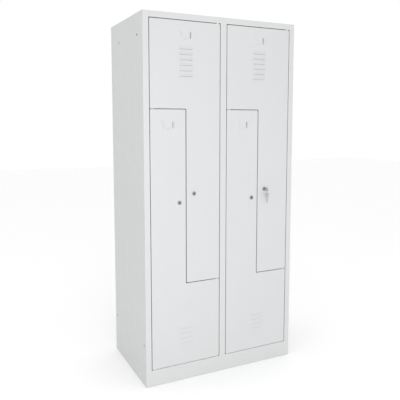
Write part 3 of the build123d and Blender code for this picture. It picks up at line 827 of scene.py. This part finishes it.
class LOCKER_OT_fittings(Operator):
    """Finish the pins, bushes, buffers, rails and cups"""

    bl_idname = "locker.fittings"
    bl_label = "Fittings"

    def execute(self, context):
        hardware = context.scene.locker_hardware
        finishes = {
            "pin_steel": plated_steel("Pin steel", hardware.steel_tone),
            "rail_steel": plated_steel("Rail steel", hardware.steel_tone, RAIL_GRAIN),
            "cup_plastic": moulded_plastic("Cup plastic", hardware.cup_tone, CUP_ROUGHNESS),
            "bush_plastic": moulded_plastic("Bush plastic", hardware.bush_tone, BUSH_ROUGHNESS),
            "buffer_rubber": moulded_plastic("Buffer rubber", hardware.rubber_tone, RUBBER_ROUGHNESS),
        }
        for slot, finish in finishes.items():
            paint_nodes(slot_nodes(slot), finish)
        return {"FINISHED"}


class LOCKER_OT_locks(Operator):
    """Make the cam locks: turned faces, rounded nuts and cams, and the screw behind each cam"""

    bl_idname = "locker.locks"
    bl_label = "Locks"

    def execute(self, context):
        hardware = context.scene.locker_hardware
        cam_steel = plated_steel("Cam steel", hardware.steel_tone, CAM_GRAIN)
        outline = [
            (across * hardware.screw_radius, up * hardware.screw_height) for across, up in SCREW_OUTLINE
        ]
        for place in PLACES:
            low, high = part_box(f"lock_plug_{place}")
            middle = (low + high) / 2
            rim = turned_metal(f"Lock rim {place}", hardware.lock_tone, middle)
            new_piece(
                f"lock_bezel_{place}", rounded_copy(f"lock_housing_{place}", hardware.edge_round),
                f"door_{place}", "lock_zinc", rim, f"lock_housing_{place}",
            )
            new_piece(
                f"lock_back_nut_{place}", rounded_copy(f"lock_nut_{place}", hardware.edge_round),
                f"door_{place}", "lock_zinc", cam_steel, f"lock_nut_{place}",
            )
            plug = turned_metal(f"Lock plug {place}", hardware.plug_tone, middle)
            paint_nodes([f"lock_plug_{place}"], plug)
            new_piece(
                f"lock_tongue_{place}", rounded_copy(f"lock_cam_{place}", hardware.edge_round),
                f"lock_{place}", "cam_steel", cam_steel, f"lock_cam_{place}",
            )
            seat = Vector((middle.x, high.y, middle.z))
            new_piece(
                f"cam_screw_{place}", turned(outline, seat, BACKWARD, SCREW_SIDES),
                f"lock_{place}", "cam_steel", cam_steel,
            )
        return {"FINISHED"}


class LOCKER_OT_keys(Operator):
    """Make the two keys and the split ring between them"""

    bl_idname = "locker.keys"
    bl_label = "Keys"

    def execute(self, context):
        hardware = context.scene.locker_hardware
        nickel = plated_steel("Key nickel", hardware.key_tone, KEY_GRAIN, KEY_ROUGHNESS)
        for node in ("key", "spare_key"):
            new_piece(
                f"{node}_blank", rounded_copy(node, hardware.edge_round), node, "key_nickel", nickel, node,
            )
        low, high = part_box("key_ring")
        axes = {joint["name"]: Vector(joint["axis"]) for joint in frame["joints"]}
        wire_steel = plated_steel("Ring wire", hardware.key_tone)
        tree = ring_tree()
        coil = tree.grow(
            bpy.data.meshes.new("ring seed"),
            Turns=hardware.ring_turns,
            Radius=(high.z - low.z) / 2 - hardware.ring_flat,
            Wire=hardware.ring_wire,
            Flat=hardware.ring_flat,
            Spread=2 * hardware.ring_wire * hardware.ring_turns,
            Centre=(low + high) / 2,
            Turn=axes["key_ring_swing"].cross(UP).to_track_quat("Z", "Y").to_euler(),
            Material=wire_steel,
        )
        new_piece("split_ring", coil, "key_ring", "ring_steel", wire_steel, "key_ring")
        return {"FINISHED"}


class LOCKER_OT_hooks(Operator):
    """Make the moulded double hooks that slide on the coat rails"""

    bl_idname = "locker.hooks"
    bl_label = "Coat hooks"

    def execute(self, context):
        hardware = context.scene.locker_hardware
        plastic = moulded_plastic("Hook plastic", hardware.hook_tone, HOOK_ROUGHNESS)
        for place in PLACES:
            hook = rounded_copy(f"coat_hook_{place}", hardware.hook_round, HOOK_EDGE_STEPS)
            new_piece(
                f"sliding_hook_{place}", hook, f"hook_{place}", "hook_plastic", plastic,
                f"coat_hook_{place}",
            )
        return {"FINISHED"}


class LOCKER_OT_welds(Operator):
    """Set the rows of spot welds on the back and behind the doors"""

    bl_idname = "locker.welds"
    bl_label = "Spot welds"

    def execute(self, context):
        welds = context.scene.locker_welds
        tree = weld_tree()
        carcass_coat = bpy.data.materials["Carcass coat"]
        door_coat = bpy.data.materials["Door coat"]
        sizes = {
            "Pitch": welds.pitch,
            "Radius": welds.radius,
            "Height": welds.height,
            "Sides": welds.sides,
            "Crown_share": welds.crown_share,
        }
        space = welds.end_space
        low, high = CAD_BOX
        back_low, back_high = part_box("back_panel")
        sheet = back_high.y - back_low.y
        rows = []
        for side in (-1, 1):
            edge = side * (high.x - welds.edge_space)
            rows.append(((edge, high.y, space), (edge, high.y, high.z - space)))
        roof = high.z - 2 * welds.edge_space
        rows.append(((low.x + 2 * space, high.y, roof), (high.x - 2 * space, high.y, roof)))
        mesh = tree.grow(row_mesh(rows), **sizes, Material=carcass_coat)
        new_piece("back_spot_welds", mesh, "carcass", "carcass_paint", carcass_coat)
        for place in PLACES:
            near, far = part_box(f"door_stiffener_{place}")
            foot_y = near.y + sheet
            rows = [
                ((spot, foot_y, near.z + space), (spot, foot_y, far.z - space))
                for spot in (near.x + welds.edge_space, far.x - welds.edge_space)
            ]
            mesh = tree.grow(row_mesh(rows), **sizes, Material=door_coat)
            new_piece(f"door_spot_welds_{place}", mesh, f"door_{place}", "door_paint", door_coat)
        return {"FINISHED"}


class LOCKER_PT_sidebar(Panel):
    """The locker's tools in the sidebar"""

    bl_idname = "LOCKER_PT_sidebar"
    bl_label = "Locker"
    bl_space_type = "VIEW_3D"
    bl_region_type = "UI"
    bl_category = "Locker"

    def draw(self, context):
        for operator in OPERATORS:
            self.layout.operator(operator.bl_idname)


SETTINGS = {
    "locker_studio": LOCKER_PG_studio,
    "locker_paint": LOCKER_PG_paint,
    "locker_hardware": LOCKER_PG_hardware,
    "locker_welds": LOCKER_PG_welds,
}
OPERATORS = (
    LOCKER_OT_stage,
    LOCKER_OT_paint,
    LOCKER_OT_fittings,
    LOCKER_OT_locks,
    LOCKER_OT_keys,
    LOCKER_OT_hooks,
    LOCKER_OT_welds,
)


def register():
    """Add the settings, the operators and the panel."""
    for name, group in SETTINGS.items():
        bpy.utils.register_class(group)
        setattr(bpy.types.Scene, name, PointerProperty(type=group))
    for operator in OPERATORS:
        bpy.utils.register_class(operator)
    bpy.utils.register_class(LOCKER_PT_sidebar)


def unregister():
    """Remove them again."""
    bpy.utils.unregister_class(LOCKER_PT_sidebar)
    for operator in reversed(OPERATORS):
        bpy.utils.unregister_class(operator)
    for name, group in SETTINGS.items():
        delattr(bpy.types.Scene, name)
        bpy.utils.unregister_class(group)


def main():
    """Build the dressed locker."""
    register()
    bpy.ops.locker.stage()
    bpy.ops.locker.paint()
    bpy.ops.locker.fittings()
    bpy.ops.locker.locks()
    bpy.ops.locker.keys()
    bpy.ops.locker.hooks()
    bpy.ops.locker.welds()


if __name__ == "__main__":
    main()
